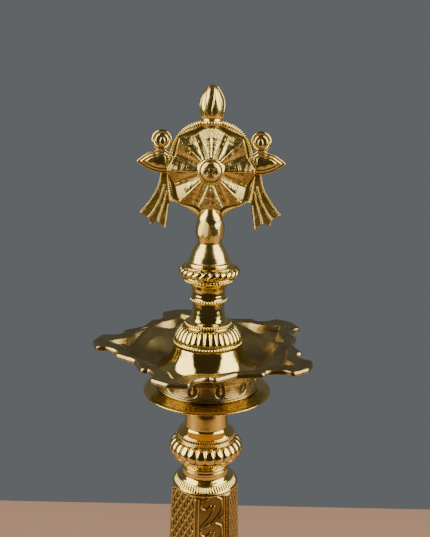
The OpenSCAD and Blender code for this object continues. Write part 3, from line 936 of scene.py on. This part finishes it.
def wheel_height(x, z):
    """Height of one face of the rosette above its middle plane, and painted shade in its engraved lines,
    seams and hub groove.
    """
    rho = np.hypot(x, z)
    angle = np.arctan2(x, z)
    w = across(angle / TAU * 8 + 0.5)
    seam_off = (1 - np.abs(w)) * rho * TAU / 16
    ridge_off = np.abs(w) * rho * TAU / 16
    ridge = 10.0 - 0.13 * (rho - 11.5) - 0.0035 * (rho - 24) ** 2
    valley = 6.6 - 0.2 * (rho - 11.5)
    roof = ridge + (valley - ridge) * (0.15 * np.sqrt(w**2 + 0.01) + 0.85 * w**2)
    roof = roof + hand_worked(x, z)
    hub = np.interp(rho, [0, 4.4, 5.4, 7.4, 8.7, 9.2, 9.6, 10.0, 10.4, 10.8, 11.4],
                    [13.1, 12.9, 12.7, 11.8, 10.5, 9.6, 10.5, 10.8, 10.5, 9.5, 9.2])
    petal = step_up(rho, 11.1, 12.2)
    body = hub * (1 - petal) + roof * petal
    seam = (1.0 * line(seam_off, 0.75) - 0.3 * line(seam_off - 1.9, 0.4)) * petal
    spine = 0.3 * line(ridge_off, 0.4) * petal
    bow = rho + 2.4 * w**2
    clear = step_up(seam_off, 1.9, 2.4) * step_up(ridge_off, 0.6, 1.0)
    arcs = line(bow - 24.8, 0.32) + line(bow - 26.4, 0.32) + 0.7 * line(bow - 27.8, 0.28)
    arcs = 0.36 * arcs * clear
    hatch = 0.16 * np.sin(ridge_off * 5.0 + rho * 1.4) * window(bow, 28.6, 37.0, 0.5) * clear
    dots = 0.2 * np.sin(rho * 4.2) * line(ridge_off - 1.6, 0.6) * window(bow, 13, 24, 0.8)
    dots = dots + 0.12 * np.sin(bow * 3.6) * window(bow, 13, 24, 0.8) * step_up(ridge_off, 2.4, 3.0)
    star = np.cos(angle * 6)
    mark = -0.3 * line(rho - 3.6 - 1.2 * star, 0.3) * (rho < 6.4)
    mark = mark - 0.3 * line(rho - 7.6, 0.3) - 0.12 * np.sin(x * 5.2) * np.sin(z * 5.2) * (rho < 8)
    height = body + seam + spine - arcs + hatch + dots + mark
    # Painted shade in the engraved arcs, hatching, dots, hub groove, seams and star mark.
    dark = 1.8 * arcs + np.clip(-hatch - dots, 0, 1) * 2.2 + 1.2 * line(rho - 9.3, 0.4)
    dark = dark + 0.6 * line(seam_off - 1.9, 0.4) * petal + np.clip(-mark, 0, 1) * 2.0
    return height, np.clip(dark, 0, 1)


def star_radius(points, angle):
    """Edge radius at each angle of a closed outline round the origin."""
    path = curve(points)
    a = np.unwrap(np.arctan2(path[:, 1], path[:, 0]))
    r = np.hypot(path[:, 0], path[:, 1])
    if a[-1] < a[0]:
        a, r = a[::-1], r[::-1]
    return np.interp(a[0] + (angle - a[0]) % TAU, a, r)


def side_plate(shell, points, centre, sign, half_thick, detail, cols, rings):
    """Leaf, lobe or ribbon: a plate with a raised rim, on both faces."""
    cx, cz = centre
    local = [(q[0] - cx, q[1] - cz) + tuple(q[2:]) for q in points]
    path = resample(curve(local), 0.6)

    def outline(angle):
        return star_radius(local, angle)

    def face(side):
        def height(x, z):
            inside = edge_distance(path, x, z)
            y, dark = detail(x + cx, z + cz, inside)
            y = half_thick * np.clip(y, 0.05, 1.6) * step_up(inside, -0.6, 0.7)
            return side * (y + 0.02), dark
        return height

    mark = len(shell.points)
    polar_sheet(shell, outline, face(-1), face(1), cols, rings)
    for block in shell.points[mark:]:
        block[:, 0] = sign * (block[:, 0] + cx)
        block[:, 2] += cz + WHEEL_Z


WHEEL = [(0, 43.4, 1), (9.8, 42.9, 1), (18.6, 39.9, 1), (25.6, 35.2, 1), (31, 29.2, 1),
         (35, 22, 1), (37.6, 12, 1), (38.7, 2, 1), (38.9, -10, 1), (38.2, -22, 1),
         (36.4, -28.7), (32.6, -28.5), (27, -31, 1), (19.6, -34.8, 1), (12.4, -39.8),
         (10.4, -44.6), (0, -44.6)]
LOBE = [(43 + 9.15 * math.cos(k * TAU / 24), 25.4 + 9.15 * math.sin(k * TAU / 24), 1)
        for k in range(24)] + [(52.15, 25.4)]
LEAF = [(65.2, 6.8, 1), (64, 5.2, 1), (60.4, 3, 1), (55.2, -0.2, 1), (47.3, -2.8, 1),
        (41.2, -3.3, 1), (34.4, -2.8), (34.4, 13.6), (40, 17.6, 1), (44, 17.8, 1),
        (49.3, 16.5, 1), (55.2, 14.6, 1), (61, 10.8, 1), (64, 8.4, 1), (65.2, 6.8)]
RIBBON = [(34.4, -0.4), (34.4, -24, 1), (36.2, -30.6, 1), (37.8, -42, 1), (39, -51.6),
          (40.4, -52.2), (43.4, -49.0, 1), (47.4, -46.4, 1), (50.4, -47.4, 1), (52, -49.0),
          (53.4, -48.8), (54.2, -45.6, 1), (55.4, -43, 1), (57.8, -41, 1), (61.8, -39.4),
          (62.8, -38.2), (56.6, -30.7, 1), (50.2, -20.8, 1), (46.2, -13, 1),
          (44.4, -5, 1), (42.4, -2.2), (34.4, -0.4)]
RIDGES = [[(43.4, -3.4, 1), (45.4, -13.4, 1), (49.4, -21.2, 1), (55.8, -30.9, 1),
           (62.0, -38.4)],
          [(41, -14, 1), (42.9, -21, 1), (44.8, -26.4, 1), (48.2, -33, 1), (51.5, -38.4, 1),
           (54.6, -42.2)],
          [(38.6, -19, 1), (39.7, -23, 1), (41.1, -28.8, 1), (43, -35.5, 1),
           (45.2, -41.2, 1), (46.2, -46.2)],
          [(37.0, -30.6, 1), (38.4, -41, 1), (39.6, -51.2)]]


def lobe_detail(x, z, inside):
    """Smooth swelling inside a round rim, with a drop-shaped sunk mark; the grooves carry painted shade."""
    drop = np.hypot(x - 42.4, (z - 24.2) * 0.62)
    swell = 0.075 * np.minimum(inside, 7)
    dark = 0.5 * line(inside - 3.0, 0.6) + 0.35 * line(drop - 2.6, 0.5)
    rim = 0.2 * line(inside - 1.4, 1.2) - 0.3 * line(inside - 3.0, 0.7)
    return 0.5 + swell + rim - 0.25 * line(drop - 2.6, 0.6), dark


def leaf_detail(x, z, inside):
    """Nested ridges that follow the edge of the leaf, with painted shade in the furrows between them."""
    ridges = 0.3 * line(inside - 0.9, 0.75) + 0.22 * line(inside - 3.4, 0.7)
    ridges = ridges + 0.12 * np.minimum(inside, 8) - 0.15 * line(inside - 4.9, 0.5)
    dark = 0.55 * line(inside - 2.1, 0.5) + 0.4 * line(inside - 4.3, 0.5)
    return 0.4 + ridges + 0.3 * hand_worked(x, z), dark


def ribbon_detail(x, z, inside):
    """Four thin ridges that fan out over a finely ticked ground; the ground carries painted shade, darkest
    in the tick grooves.
    """
    ridge = np.zeros_like(x)
    for points, high in zip(RIDGES, (1.0, 1.0, 1.0, 0.6)):
        off = edge_distance(resample(curve(points), 0.5), x, z)
        ridge = np.maximum(ridge, high * line(off, 0.62))
    reach = np.hypot(x - 36, z - 14)
    ticks = np.sin(reach * TAU / 1.45) * (1 - ridge) * step_up(reach, 18, 26)
    dark = 0.42 * (1 - ridge) + 0.5 * np.clip(-ticks, 0, 1)
    return 0.42 + 0.58 * ridge + 0.16 * ticks, dark


def make_wheel(shell):
    """Wheel plate with a rope-cut edge and a domed rosette on both faces."""
    cols = 1088
    angle = whole_turn(cols)
    path = WHEEL + [(-q[0],) + tuple(q[1:]) for q in WHEEL[::-1]][1:]
    outer = star_radius(path, angle)
    w = across((TAU / 4 - angle) / TAU * 8 + 0.5)
    petal = np.minimum(33.4 + 5.4 * (1 - np.abs(w)) ** 1.5, outer - 1.1)
    edge = np.c_[outer * np.cos(angle), outer * np.sin(angle)]
    length = lengths(edge)
    rope = np.sin(length / length[-1] * TAU * 132)
    rows, heights, deep = [], [], []
    for t in np.linspace(0, 1, 76) ** 0.94:
        rho = petal * t
        y, dark = wheel_height(rho * np.cos(angle), rho * np.sin(angle))
        rows.append(rho)
        heights.append(y)
        deep.append(dark)
    top = heights[-1]
    for out_by, keep in ((0.12, 0.9), (0.3, 0.55), (0.42, 0.2), (0.5, 0.0)):
        rows.append(petal + out_by)
        heights.append(top * keep + 1.5 * (1 - keep))
        # Painted shade at the foot of the step from the petals down to the rim.
        deep.append(np.full(cols, 0.75 * (1 - keep)))
    inner = petal + 0.5
    for t in np.linspace(0, 1, 14)[1:]:
        rows.append(inner * (1 - t) + outer * t)
        roll = window(np.array(t), 0.3, 1.05, 0.35)
        heights.append(1.5 - 1.2 * t**6 + (0.75 + 0.45 * rope) * roll)
        # Painted shade in the rim's inner groove and between the rope's twists.
        deep.append(np.clip(0.6 - roll + np.clip(-rope, 0, 1) * 0.8 * roll, 0, 1))
    rho, y, dark = np.stack(rows), np.stack(heights), np.stack(deep)
    x, z = rho * np.cos(angle), rho * np.sin(angle) + WHEEL_Z
    front = np.stack([x, -y, z], -1)
    back = np.stack([x, y, z], -1)[::-1]
    shell.grid(np.concatenate([front, back]), np.concatenate([dark, dark[::-1]]))


def make_finial():
    """Wheel, its leaves and ribbons, the stem and the flame bud, as one casting."""
    shell = Shell()
    lathe(shell, [(PIN_BORE_R, DISC_TOP), (20.2, DISC_TOP), (20.5, 528, 1), (19.9, 529.4), (18.5, 530.2),
                  (18.1, 531.4, 1), (17.7, 533, 1), (16.8, 536.2, 1), (15, 540, 1),
                  (12.9, 543.6, 1), (11.1, 546.6), (11.0, 547.8), (11.4, 550, 1),
                  (12.5, 554.4, 1), (12.7, 558.6, 1), (12.5, 562.6, 1), (11.8, 566, 1),
                  (11.6, 569, 1), (10.4, 572.6, 1), (7.6, 577, 1), (PIN_BORE_R, 581),
                  (PIN_BORE_R, 560), (PIN_BORE_R, DISC_TOP)],
          stem_relief, [(545, 574, 0.34, 9), (528, 545, 0.7, 10)], 420, 1.2, 0.16)
    make_wheel(shell)
    for sign in (1, -1):
        side_plate(shell, LOBE, (43, 25.4), sign, 2.5, lobe_detail, 200, 24)
        side_plate(shell, LEAF, (48, 7), sign, 2.4, leaf_detail, 300, 34)
        side_plate(shell, RIBBON, (45, -26), sign, 2.2, ribbon_detail, 480, 60)
    lathe(shell, [(0, 648), (8.2, 648.4), (8.6, 650.4), (9.6, 652.4, 1), (8.8, 654.6),
                  (8.4, 655.8), (9.4, 657.4, 1), (10.3, 660.6, 1), (10.9, 664.4, 1),
                  (10.9, 668.4, 1), (10.1, 672.6, 1), (7.8, 677.6, 1), (4.4, 682.4, 1),
                  (1.4, 684.3, 1), (0, 684.7)],
          flame_relief, [(650, 684, 0.34, 2)], 320, 1.2, 0.14, ring=False)
    shell.build("wheel_finial", "finial", "chakra_finial", cast_metal)


# ---- studio


def plain(name, color, rough):
    """Uniform material for the floor."""
    nodes = Nodes(name)
    nodes.feed(color, nodes.shader.inputs["Base Color"])
    nodes.feed(rough, nodes.shader.inputs["Roughness"])
    return nodes.material


def softbox(name, side):
    """Tall oval soft light, on one side of the camera, that faces the lamp."""
    data = bpy.data.lights.new(name, "AREA")
    data.shape = "ELLIPSE"
    data.size, data.size_y = 1.35, 1.9
    data.energy = 30
    data.color = (1.0, 0.97, 0.88)
    light = bpy.data.objects.new(name, data)
    bpy.context.scene.collection.objects.link(light)
    light.location = (side * SOFTBOX_SIDE, SOFTBOX_Y, SOFTBOX_Z)
    aim = Vector(SOFTBOX_AIM) - light.location
    light.rotation_euler = aim.to_track_quat("-Z", "Y").to_euler()


def make_world():
    """Soft grey surround, lighter behind the lamp than in front of it."""
    world = bpy.data.worlds.new("studio")
    world.use_nodes = True
    tree = world.node_tree
    place = tree.nodes.new("ShaderNodeTexCoord")
    split = tree.nodes.new("ShaderNodeSeparateXYZ")
    ramp = tree.nodes.new("ShaderNodeValToRGB")
    stretch = tree.nodes.new("ShaderNodeMapRange")
    stretch.inputs["From Min"].default_value = -1
    tree.links.new(place.outputs["Generated"], split.inputs[0])
    tree.links.new(split.outputs["Y"], stretch.inputs["Value"])
    tree.links.new(stretch.outputs["Result"], ramp.inputs["Fac"])
    front, back = ramp.color_ramp.elements
    front.position, front.color = 0.3, (0.038, 0.033, 0.025, 1)
    back.position, back.color = 0.85, (0.120, 0.129, 0.136, 1)
    tree.links.new(ramp.outputs["Color"], tree.nodes["Background"].inputs["Color"])
    bpy.context.scene.world = world


def make_studio():
    """Floor, lights, world and the camera."""
    mesh = bpy.data.meshes.new("floor")
    corners = [(-FLOOR_SIDE, FLOOR_FRONT, 0), (FLOOR_SIDE, FLOOR_FRONT, 0),
               (FLOOR_SIDE, FLOOR_BACK, 0), (-FLOOR_SIDE, FLOOR_BACK, 0)]
    mesh.from_pydata(corners, [], [(0, 1, 2, 3)])
    mesh.materials.append(plain("table_top", (0.46, 0.28, 0.185), 0.55))
    floor = bpy.data.objects.new("floor", mesh)
    bpy.context.scene.collection.objects.link(floor)
    softbox("left_softbox", -1)
    softbox("right_softbox", 1)
    make_world()
    data = bpy.data.cameras.new("camera")
    data.lens = CAMERA_LENS
    data.sensor_width = 36
    data.sensor_fit = "AUTO"
    camera = bpy.data.objects.new("camera", data)
    bpy.context.scene.collection.objects.link(camera)
    camera.location = CAMERA_AT
    turn = Matrix.Rotation(CAMERA_PITCH, 4, "X") @ Matrix.Rotation(CAMERA_ROLL, 4, "Z")
    camera.rotation_euler = turn.to_euler()
    bpy.context.scene.camera = camera


make_base()
make_column()
make_knob()
make_studs()
make_bowl()
make_bell()
make_finial()
make_studio()
